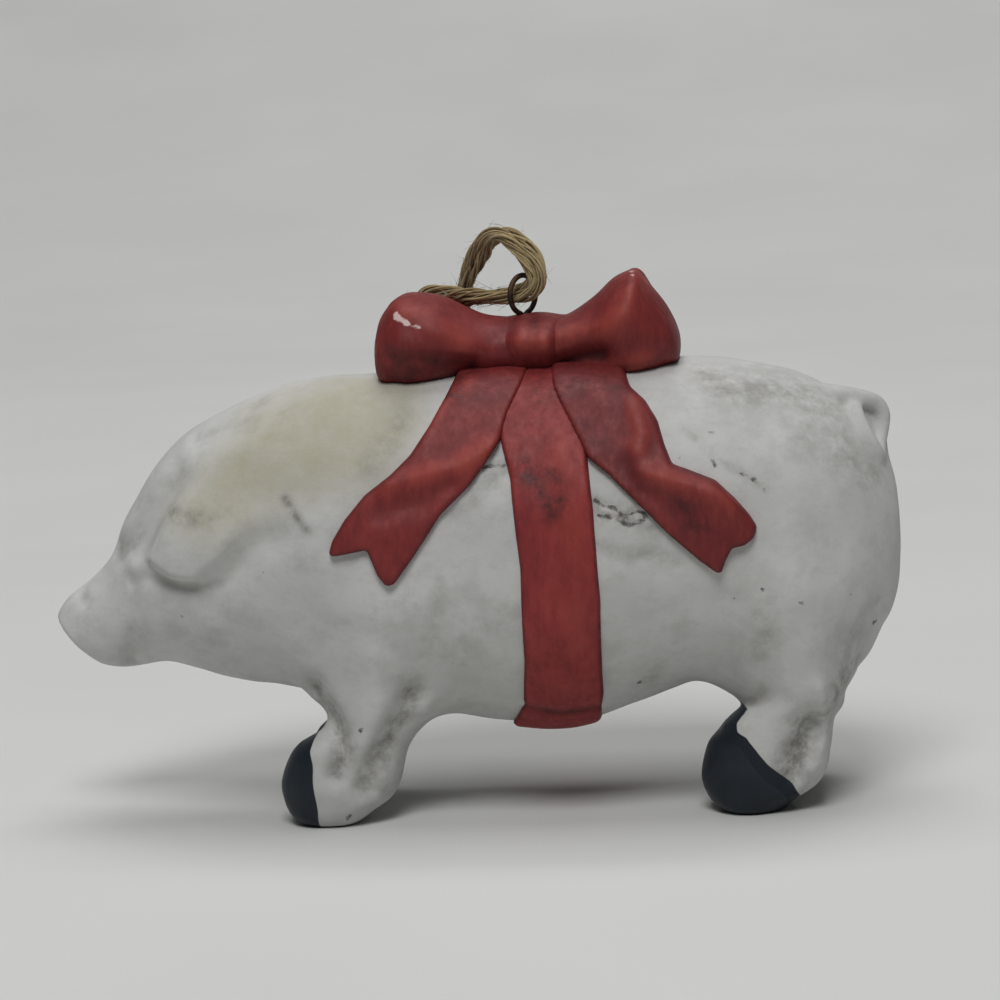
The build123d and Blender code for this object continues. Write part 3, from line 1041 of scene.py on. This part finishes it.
def hair_tubes(points, thickness, count):
    """Thin loose hairs that leave a line and curl away."""
    line, _ = even_line(points)
    first, second, heading = carried_axes(line)
    t = np.linspace(0, 1, hair_points)[:, None]
    radii = np.linspace(0.03, 0.012, hair_points)
    tubes = []
    for _ in range(count):
        at = draw.integers(2, len(line) - 3)
        angle = draw.uniform(0, 2 * pi)
        outward = cos(angle) * first[at] + sin(angle) * second[at]
        sideways = np.cross(heading[at], outward)
        length = draw.uniform(0.8, 2.4)
        lift = draw.uniform(0.05, 0.35)
        swerve = draw.normal(0, 0.5)
        lean = draw.choice([-1, 1])
        hair = line[at] + outward * thickness * hair_root + lean * heading[at] * length * t
        hair = hair + outward * lift * length * t**1.6 + sideways * swerve * length * t**2
        tubes.append((hair, radii, hair_sides))
    return tubes


hairs = hair_tubes(twine_line, twine_diameter, hair_count)
fuzz_piece = tube_piece("jute_fuzz", hairs, "hanger", [])
print("loose fibres", len(fuzz_piece.data.polygons), "faces")

# %% [markdown]
# ## Knot of the twine
# The two ends meet behind the pig in an overhand knot. The knot is the same twine led round a
# trefoil, the curve that an overhand knot makes, and two short frayed ends hang from it.

# %% Twine knot
knot_middle = np.array([45.4, 21.6, 31.6])
knot_turn = np.linspace(0, 2 * pi, 90)
trefoil = np.stack([
    np.sin(knot_turn) + 2 * np.sin(2 * knot_turn),
    -1.2 * np.sin(3 * knot_turn),
    np.cos(knot_turn) - 2 * np.cos(2 * knot_turn),
], 1)
knot_scale = 0.78
knot_thickness = 2.3
end_thickness = 2.4
knot_tubes = twine_tubes(knot_middle + knot_scale * trefoil, knot_thickness)
for side in (-1, 1):
    end_line = knot_middle + np.array([
        (side * 0.7, 0, 0), (side * 1.3, 0.1, -2.4), (side * 1.7, 0.0, -4.8), (side * 1.9, -0.1, -7.4),
    ])
    knot_tubes += twine_tubes(smooth_rows(end_line), end_thickness)
knot_piece = tube_piece("jute_knot", knot_tubes, "hanger", ["hanger_knot"])
print("knot", len(knot_tubes), "fibre bundles")

# %% [markdown]
# ## Finishes
# Every finish is built from nodes: noise for the drift of its colour, the marks kept on the points
# for stains, dirt and wear and for painted shade and highlights, and a fine bump for the grain. Image
# textures would need unwrapping and turn soft close by. One small class holds a material, and lays
# one colour over the last.


# %% Node helpers
class Finish:
    """A material with its nodes, and short ways to add to them."""

    def __init__(self, name):
        self.material = bpy.data.materials.new(name)
        self.material.use_nodes = True
        self.nodes = self.material.node_tree.nodes
        self.shader = self.nodes["Principled BSDF"]
        self.where = self.add("TexCoord", "Object")
        self.bumps = {}

    def feed(self, node, **sockets):
        """Sockets of a node, by name, set to plain values or joined to other nodes."""
        for name, value in sockets.items():
            socket = node.inputs[name.replace("_", " ")]
            if isinstance(value, bpy.types.NodeSocket):
                self.material.node_tree.links.new(value, socket)
            else:
                socket.default_value = value

    def add(self, kind, output, **sockets):
        """One output of a new node."""
        node = self.nodes.new("ShaderNode" + kind)
        self.feed(node, **sockets)
        return node.outputs[output]

    def noise(self, scale, detail=4.0, rough=0.55, stretch=None):
        """Noise of so many lumps to a metre."""
        where = self.add("Mapping", "Vector", Vector=self.where, Scale=stretch) if stretch else self.where
        return self.add("TexNoise", "Fac", Vector=where, Scale=scale, Detail=detail, Roughness=rough)

    def marks(self, name):
        """Values kept on the points under that name."""
        node = self.nodes.new("ShaderNodeAttribute")
        node.attribute_name = name
        return node.outputs["Fac"]

    def ramp(self, value, low, high, start=0.0, end=1.0):
        """The value moved from low-high to start-end."""
        given = {"From_Min": low, "From_Max": high, "To_Min": start, "To_Max": end}
        return self.add("MapRange", "Result", Value=value, **given)

    def maths(self, operation, *values):
        """Result of a maths operation on two values."""
        node = self.nodes.new("ShaderNodeMath")
        node.operation = operation
        for socket, value in zip(node.inputs, values):
            self.material.node_tree.links.new(value, socket)
        return node.outputs["Value"]

    def times(self, one, other):
        """Product of two values."""
        return self.maths("MULTIPLY", one, other)

    def base(self, share, one, other):
        """The first coat, one colour turning into another as the share grows."""
        node = self.nodes.new("ShaderNodeMix")
        node.data_type = "RGBA"
        self.feed(node, Factor=share)
        if isinstance(one, tuple):
            node.inputs[6].default_value = (*one, 1)
        else:
            self.material.node_tree.links.new(one, node.inputs[6])
        node.inputs[7].default_value = (*other, 1)
        self.colour = node.outputs[2]

    def lay(self, share, colour):
        """A colour laid over the coats before it, as far as the share says."""
        self.base(share, self.colour, colour)

    def bump(self, value, strength, distance):
        """A bump on top of those added before."""
        normal = self.add("Bump", "Normal", Height=value, Strength=strength, Distance=distance, **self.bumps)
        self.bumps = {"Normal": normal}

    def coat(self, *pieces, **sockets):
        """Set the shader, and give the finish to pieces."""
        self.feed(self.shader, Base_Color=self.colour, **self.bumps, **sockets)
        for piece in pieces:
            piece.data.materials.clear()
            piece.data.materials.append(self.material)


# %% [markdown]
# ## Bisque
# Clay fired without glaze is matt, a little chalky, and takes up every stain. Its layers go on in order:
# the drift of the clay, handling, the yellow stain on the neck, dirt in the grooves with painted shade
# there and painted shadow under the tail, painted shade in the hollows, freckles, the dark of the cracks
# and the hoof paint. Where each lies is drawn in side view or read off the form and kept on the mesh's
# points, and noise breaks up its edge.


# %% Marks on the clay
def hollow_share(field, points, passes):
    """How far the surface is hollow (above 0) or ridged (below 0) at points."""
    return -at_points(soften(field, passes) - field, points)


clay_hollow = hollow_share(pig, pig_points, passes=6)
stain_outline = [
    (16.5, 37.5), (22.0, 44.0), (26.4, 49.2), (35.8, 52.5), (46.5, 52.0), (46.5, 46.0), (42.2, 41.5),
    (32.8, 39.4), (21.0, 35.0),
]
stain_drawing = smooth_step(3.5, -3.5, patch(stain_outline))
# Dirt along the grooves and creases, together with painted shade in them, and painted shadow by the tail
# curl.
dirt_and_shade_strokes = [
    (0.55, [(79.5, 50.5), (83.0, 49.2), (87.0, 49.0), (94.0, 46.4)], 2.0),
    (0.8, [(20.4, 37.5), (18.2, 37.6), (17.0, 38.0)], 0.8),
    (0.6, [(22.0, 37.6), (23.9, 38.1)], 0.5),
    (1.0, [(31.0, 39.6), (31.9, 38.1), (33.5, 36.0)], 0.5),
    (0.4, brow_groove[:2], 0.7),
    (0.5, brow_groove[3:], 0.9),
    (0.2, neck_crease, 0.8),
    (0.25, mouth_line, 0.8),
    (0.9, front_groove, 1.1),
    (0.9, rear_groove, 1.2),
    (0.25, shoulder_fold, 1.0),
    (0.7, [(36.6, 9.8), (36.0, 8.0)], 1.0),
    (0.6, [(40.6, 8.4), (39.6, 5.4), (40.2, 4.2)], 0.8),
    # Painted shadow under the tail's curl.
    (0.5, [(94.6, 43.4), (96.2, 40.4), (98.4, 38.6)], 1.4),
    (0.4, [(77.2, 45.6), (79.5, 43.4), (82.0, 41.4), (84.0, 40.2), (86.0, 38.6)], 0.5),
    (0.4, [(44.6, 47.6), (43.0, 45.0), (41.0, 43.0)], 1.6),
    (1.0, hind_hollow, 2.1),
    (0.2, hind_crease, 0.8),
    (0.7, [(95.0, 17.2), (93.4, 14.6), (91.6, 11.4)], 1.2),
    (0.75, [(66.5, 37.4), (70.0, 36.6), (74.0, 35.8)], 1.5),
    (0.4, side_crease, 1.0),
    (0.4, flank_fold, 1.1),
    (0.35, [(90.5, 45.6), (93.5, 42.6), (97.0, 38.6)], 2.6),
    (0.3, [(58.0, 26.0), (53.0, 24.0), (50.0, 21.0)], 2.0),
    (0.4, [(84.6, 24.4), (85.4, 22.0), (84.6, 20.0)], 1.4),
    (0.4, [(71.2, 15.8), (73.4, 17.8)], 1.0),
    (0.4, [(95.4, 20.6), (94.6, 17.6)], 1.3),
]
chip_lines = [
    [(80.0, 45.1), (80.5, 45.0)], [(80.1, 42.2), (80.5, 41.6)], [(38.0, 12.0), (38.3, 12.3)],
    [(35.6, 1.1), (36.0, 1.6)],
    [(83.3, 40.6), (83.8, 40.3)], [(84.4, 39.9), (85.1, 39.5)], [(85.6, 38.8), (86.0, 38.4)],
    [(49.2, 19.6), (49.3, 19.5)], [(17.3, 25.8), (17.4, 25.7)],
    [(82.0, 26.4), (82.1, 26.2)], [(85.2, 27.4), (85.4, 27.2)], [(89.4, 25.8), (89.6, 25.6)],
    [(97.6, 21.2), (97.9, 21.5)], [(95.1, 25.9), (95.2, 25.8)], [(70.4, 15.8), (70.5, 16.0)],
]
crack_reach = 1.5
crack_distance = [segment_distance(smooth_rows(points, 6)) for points in crack_lines + chip_lines]
crack_drawing = 1 - np.minimum(np.minimum.reduce(crack_distance), crack_reach) / crack_reach
near_points = smooth_step(-1.0, -3.0, pig_points[:, 1])
note(pig_piece, "stain", on_side_view(stain_drawing, pig_points) * (0.35 + 0.65 * near_points))
note(pig_piece, "dirt_and_shade", on_side_view(strongest(dirt_and_shade_strokes), pig_points) * (0.5 + 0.5 * near_points))
note(pig_piece, "crack", on_side_view(crack_drawing, pig_points) * near_points)
note(pig_piece, "hollow", clay_hollow)
print("hollow from", round(float(clay_hollow.min()), 3), "to", round(float(clay_hollow.max()), 3))

# %% Bisque
bisque = Finish("bisque_clay")
drift = bisque.noise(70.0, 6.0, 0.6)
bisque.base(bisque.ramp(drift, 0.35, 0.68), (0.495, 0.495, 0.48), (0.59, 0.59, 0.575))
smudge = bisque.noise(150.0, 8.0, 0.66)
bisque.lay(bisque.ramp(smudge, 0.50, 0.76, 0.0, 0.5), (0.31, 0.305, 0.29))
handling = bisque.noise(380.0, 9.0, 0.7, (1.0, 1.0, 1.7))
bisque.lay(bisque.ramp(handling, 0.50, 0.72, 0.0, 0.35), (0.36, 0.355, 0.34))
stain = bisque.times(bisque.marks("stain"), bisque.ramp(bisque.noise(120.0, 5.0), 0.3, 0.7, 0.6, 1.0))
stain = bisque.times(stain, bisque.ramp(bisque.noise(460.0, 7.0, 0.7), 0.35, 0.65, 0.75, 1.0))
bisque.lay(stain, (0.39, 0.36, 0.25))
# Dirt, and painted shade in the grooves and under the tail, broken up by noise and laid dark grey.
dirt_and_shade_breakup = bisque.ramp(bisque.noise(520.0, 7.0, 0.68), 0.36, 0.62, 0.0, 0.9)
bisque.lay(bisque.times(bisque.marks("dirt_and_shade"), dirt_and_shade_breakup), (0.165, 0.155, 0.135))
# Painted shade in the hollows of the form, read off its curvature.
crevice_shade = bisque.ramp(bisque.marks("hollow"), 0.05, 0.24, 0.0, 0.42)
bisque.lay(bisque.times(crevice_shade, bisque.ramp(drift, 0.3, 0.6, 0.4, 1.0)), (0.23, 0.215, 0.19))
freckles = bisque.ramp(bisque.noise(1100.0, 4.0, 0.55), 0.72, 0.77)
freckles = bisque.times(freckles, bisque.ramp(bisque.noise(120.0, 3.0), 0.47, 0.64, 0.0, 0.75))
bisque.lay(freckles, (0.16, 0.14, 0.11))
frayed = bisque.ramp(bisque.noise(900.0, 5.0, 0.65), 0.3, 0.7, -0.12, 0.08)
crack = bisque.maths("ADD", bisque.marks("crack"), frayed)
bisque.lay(bisque.ramp(crack, 0.79, 0.89, 0.0, 0.92), (0.075, 0.068, 0.060))
brushed = bisque.ramp(bisque.noise(350.0, 2.0), 0.3, 0.7, -0.03, 0.03)
hoof_share = bisque.ramp(bisque.maths("ADD", bisque.marks("hoof"), brushed), 0.46, 0.54)
bisque.lay(hoof_share, (0.010, 0.016, 0.024))
painted_gloss = bisque.ramp(hoof_share, 0.0, 1.0, 0.0, 0.3)
clay_roughness = bisque.maths("SUBTRACT", bisque.ramp(drift, 0.3, 0.7, 0.72, 0.9), painted_gloss)
bisque.bump(bisque.noise(420.0, 5.0), 0.25, 0.0004)
bisque.bump(bisque.noise(2600.0, 3.0), 0.22, 0.00012)
bisque.coat(pig_piece, Roughness=clay_roughness, Specular_IOR_Level=0.3)
print("bisque", len(bisque.nodes), "nodes")

# %% [markdown]
# ## Red paint
# The ribbon's paint was brushed on thinly by hand. It is streaked along the brush, darker where it
# pooled in the hollows and along the edges, with painted shade there as well, lighter along the fold
# ridges, where they were rubbed, with a painted highlight, sooty in places, with painted shade under
# the bow, in its tucks and creases and in the hem, and chipped down to a pinkish ground at two
# corners. One flat red would look like plastic.

# %% Marks on the ribbon
chip_drawing = strongest([
    (1.0, [(44.1, 59.3), (45.0, 58.8), (45.6, 58.5)], 0.60),
    (0.85, [(46.2, 58.1), (46.9, 57.8)], 0.5),
    (0.7, [(71.5, 63.1)], 0.8),
    (0.5, [(72.0, 61.4), (71.8, 59.4)], 0.6),
])
# Soot and smudges on the band and the rear end, and painted shade in the tucked-under edges of the loops, the
# creases of the knot, the hem crease and below the knot.
soot_and_shade_drawing = np.maximum(0.8 * front_tuck, strongest([
    (0.65, rear_tuck, 1.1),
    (0.3, knot_left, 0.8),
    (0.8, knot_right, 0.7),
    (1.0, [(58.7, 42.4), (60.2, 40.0), (61.8, 37.3)], 1.3),
    (1.0, [(61.9, 41.8), (63.4, 38.2)], 1.1),
    (0.9, [(76.4, 37.7), (78.9, 34.5)], 1.6),
    (0.7, hem_line, 0.5),
    (0.6, [(60.2, 52.0), (60.2, 48.0), (60.4, 45.6)], 1.8),
    (0.5, [(66.0, 46.0), (70.0, 42.6), (75.0, 38.4)], 1.6),
    # Painted shadow of the bow on the ribbon below it.
    (0.55, [(49.0, 50.2), (55.0, 50.4), (62.0, 50.4), (70.0, 50.6)], 1.5),
]))
for piece, points, field, ridges, outline in ribbon_pieces:
    near = smooth_step(-1.0, -2.5, points[:, 1])
    rim = smooth_step(0.50, 0.10, at_points(pig, points))
    if outline:
        rim = np.maximum(rim, smooth_step(-0.5, -0.1, on_side_view(patch(outline), points)))
        rim = rim * smooth_step(50.0, 44.0, points[:, 2])
    note(piece, "edge", rim)
    note(piece, "ridge", on_side_view(np.clip(ridges, 0, 1), points))
    note(piece, "hollow", hollow_share(field, points, passes=4))
    note(piece, "chip", on_side_view(chip_drawing, points) * near)
    note(piece, "soot_and_shade", on_side_view(soot_and_shade_drawing, points) * (0.4 + 0.6 * near))
print("marked", len(ribbon_pieces), "ribbon pieces")

# %% Red paint
red_paint = Finish("red_paint")
streaks = red_paint.noise(190.0, 5.0, 0.6, (1.6, 1.6, 0.7))
blotch = red_paint.noise(95.0, 5.0)
red_paint.base(red_paint.ramp(streaks, 0.36, 0.66), (0.215, 0.024, 0.025), (0.275, 0.035, 0.033))
red_paint.lay(red_paint.marks("deep"), (0.105, 0.013, 0.014))
bristles = red_paint.noise(700.0, 6.0, 0.65, (1.5, 1.5, 0.5))
red_paint.lay(red_paint.ramp(bristles, 0.50, 0.74, 0.0, 0.30), (0.37, 0.062, 0.050))
red_paint.lay(red_paint.ramp(bristles, 0.48, 0.28, 0.0, 0.40), (0.090, 0.011, 0.014))
red_paint.lay(red_paint.ramp(blotch, 0.50, 0.72, 0.0, 0.45), (0.105, 0.012, 0.016))
# Painted shade in the hollows of the ribbon, with paint pooled there too.
red_paint.lay(red_paint.ramp(red_paint.marks("hollow"), 0.01, 0.12, 0.0, 0.8), (0.050, 0.009, 0.011))
# Painted highlight along the fold ridges, where the folds were also rubbed.
ridge_highlight = red_paint.ramp(streaks, 0.32, 0.58, 0.2, 0.75)
red_paint.lay(red_paint.times(red_paint.marks("ridge"), ridge_highlight), (0.37, 0.062, 0.042))
# Paint pooled along the edges, and painted shade on the edges' side walls.
pooled_paint_and_shade = red_paint.ramp(red_paint.noise(500.0, 4.0), 0.3, 0.6, 0.2, 0.7)
red_paint.lay(red_paint.times(red_paint.marks("edge"), pooled_paint_and_shade), (0.070, 0.010, 0.013))
# Soot, and painted shade and shadow under the bow and in its tucks and creases.
soot_and_shade_breakup = red_paint.ramp(red_paint.noise(420.0, 6.0, 0.65), 0.40, 0.62, 0.0, 0.85)
red_paint.lay(red_paint.times(red_paint.marks("soot_and_shade"), soot_and_shade_breakup), (0.045, 0.010, 0.012))
flaked = red_paint.ramp(red_paint.noise(700.0, 5.0), 0.3, 0.7, -0.35, 0.35)
chip = red_paint.maths("ADD", red_paint.marks("chip"), flaked)
red_paint.lay(red_paint.ramp(chip, 0.62, 0.78, 0.0, 0.9), (0.66, 0.50, 0.48))
red_paint.bump(red_paint.noise(260.0, 4.0), 0.2, 0.0004)
red_paint.bump(red_paint.noise(1900.0, 3.0), 0.12, 0.0001)
painted_pieces = [ribbon[0] for ribbon in ribbon_pieces]
red_roughness = red_paint.ramp(bristles, 0.3, 0.7, 0.66, 0.48)
red_paint.coat(*painted_pieces, Roughness=red_roughness, Specular_IOR_Level=0.28)
print("red paint", len(red_paint.nodes), "nodes")

# %% [markdown]
# ## Hoof paint, wire and jute
# The hooves are nearly black and a little satin, with brush marks. The wire is old iron, dark brown
# where it has rusted. Jute fibres differ from one to the next, so each bundle has a random shade on
# its points, and a little sheen stands for the fuzz that is too fine to model.

# %% Hoof paint
hoof_paint = Finish("hoof_paint")
brush = hoof_paint.noise(300.0, 5.0)
hoof_paint.base(hoof_paint.ramp(brush, 0.35, 0.7), (0.007, 0.012, 0.019), (0.015, 0.023, 0.033))
hoof_paint.bump(brush, 0.3, 0.0004)
hoof_paint.bump(hoof_paint.noise(1800.0, 3.0), 0.2, 0.0001)
hoof_roughness = hoof_paint.ramp(brush, 0.3, 0.7, 0.40, 0.6)
hoof_paint.coat(*hoof_pieces, Roughness=hoof_roughness, Specular_IOR_Level=0.35)
print("hoof paint", len(hoof_paint.nodes), "nodes")

# %% Wire and jute
rusty_wire = Finish("oxidised_wire")
rust = rusty_wire.noise(900.0, 5.0)
rusty_wire.base(rusty_wire.ramp(rust, 0.4, 0.65), (0.020, 0.013, 0.010), (0.085, 0.045, 0.025))
rusty_wire.bump(rust, 0.4, 0.0001)
rusty_wire.coat(wire_piece, Roughness=rusty_wire.ramp(rust, 0.35, 0.7, 0.4, 0.75), Metallic=0.6)

jute = Finish("jute_fibre")
fibre = jute.noise(1100.0, 5.0, 0.6)
jute.base(jute.marks("shade"), (0.21, 0.15, 0.070), (0.45, 0.35, 0.175))
jute.lay(jute.ramp(fibre, 0.55, 0.75, 0.0, 0.7), (0.11, 0.075, 0.036))
jute.bump(jute.noise(3500.0, 3.0), 0.4, 0.0001)
jute_roughness = jute.ramp(fibre, 0.3, 0.7, 0.75, 0.95)
jute_pieces = (twine_piece, fuzz_piece, knot_piece)
jute.coat(*jute_pieces, Roughness=jute_roughness, Specular_IOR_Level=0.2, Sheen_Weight=0.3)
print("wire", len(rusty_wire.nodes), "jute", len(jute.nodes), "nodes")

# %% [markdown]
# ## Floor and light
# The photograph has a plain pale sheet and soft light from above and in front, with a wide faint
# shadow behind the pig. One panel high in front shapes the relief, a second overhead lights the
# back, a third only brightens the sheet behind, and a dim world fills in the rest.

# %% Floor
floor_half_width = 6.0
floor_front = -3.0
sweep_start = 0.6
sweep_radius = 2.0
sweep_turn = np.linspace(0, radians(75), 40)
sweep_line = [(floor_front, 0.0)]
sweep_line += [(sweep_start + sweep_radius * sin(a), sweep_radius * (1 - cos(a))) for a in sweep_turn]
floor_points = [(x, y, z) for x in (-floor_half_width, floor_half_width) for y, z in sweep_line]
row = len(sweep_line)
floor_faces = [(n, n + row, n + row + 1, n + 1) for n in range(row - 1)]
floor = new_mesh("floor", floor_points, floor_faces)
paper = Finish("floor_paper")
paper_tone = paper.ramp(paper.noise(8.0, 3.0), 0.3, 0.7)
paper.base(paper_tone, (0.62, 0.625, 0.61), (0.66, 0.665, 0.65))
paper.coat(floor, Roughness=0.95)
print("floor faces", len(floor_faces))


# %% Light
def panel(name, where, aim, size, power):
    """A square soft light aimed at a point."""
    light = bpy.data.lights.new(name, "AREA")
    light.size = size
    light.energy = power
    lamp = bpy.data.objects.new(name, light)
    lamp.location = where
    lamp.rotation_euler = (Vector(aim) - Vector(where)).to_track_quat("-Z", "Y").to_euler()
    bpy.context.scene.collection.objects.link(lamp)


panel("high_front", (0.0, -0.78, 1.05), (0, 0.0, 0.0), 0.5, 8.6)
panel("overhead", (0.0, 0.1, 1.3), (0, 0.0, 0.0), 0.8, 5.8)
panel("backdrop_light", (0.0, 0.9, 1.9), (0, 2.3, 0.7), 1.4, 19.0)
world = bpy.context.scene.world or bpy.data.worlds.new("studio")
bpy.context.scene.world = world
world.use_nodes = True
sky = world.node_tree.nodes["Background"]
sky.inputs["Color"].default_value = (0.95, 0.96, 0.97, 1)
sky.inputs["Strength"].default_value = 0.06
bpy.context.scene.view_settings.view_transform = "Standard"
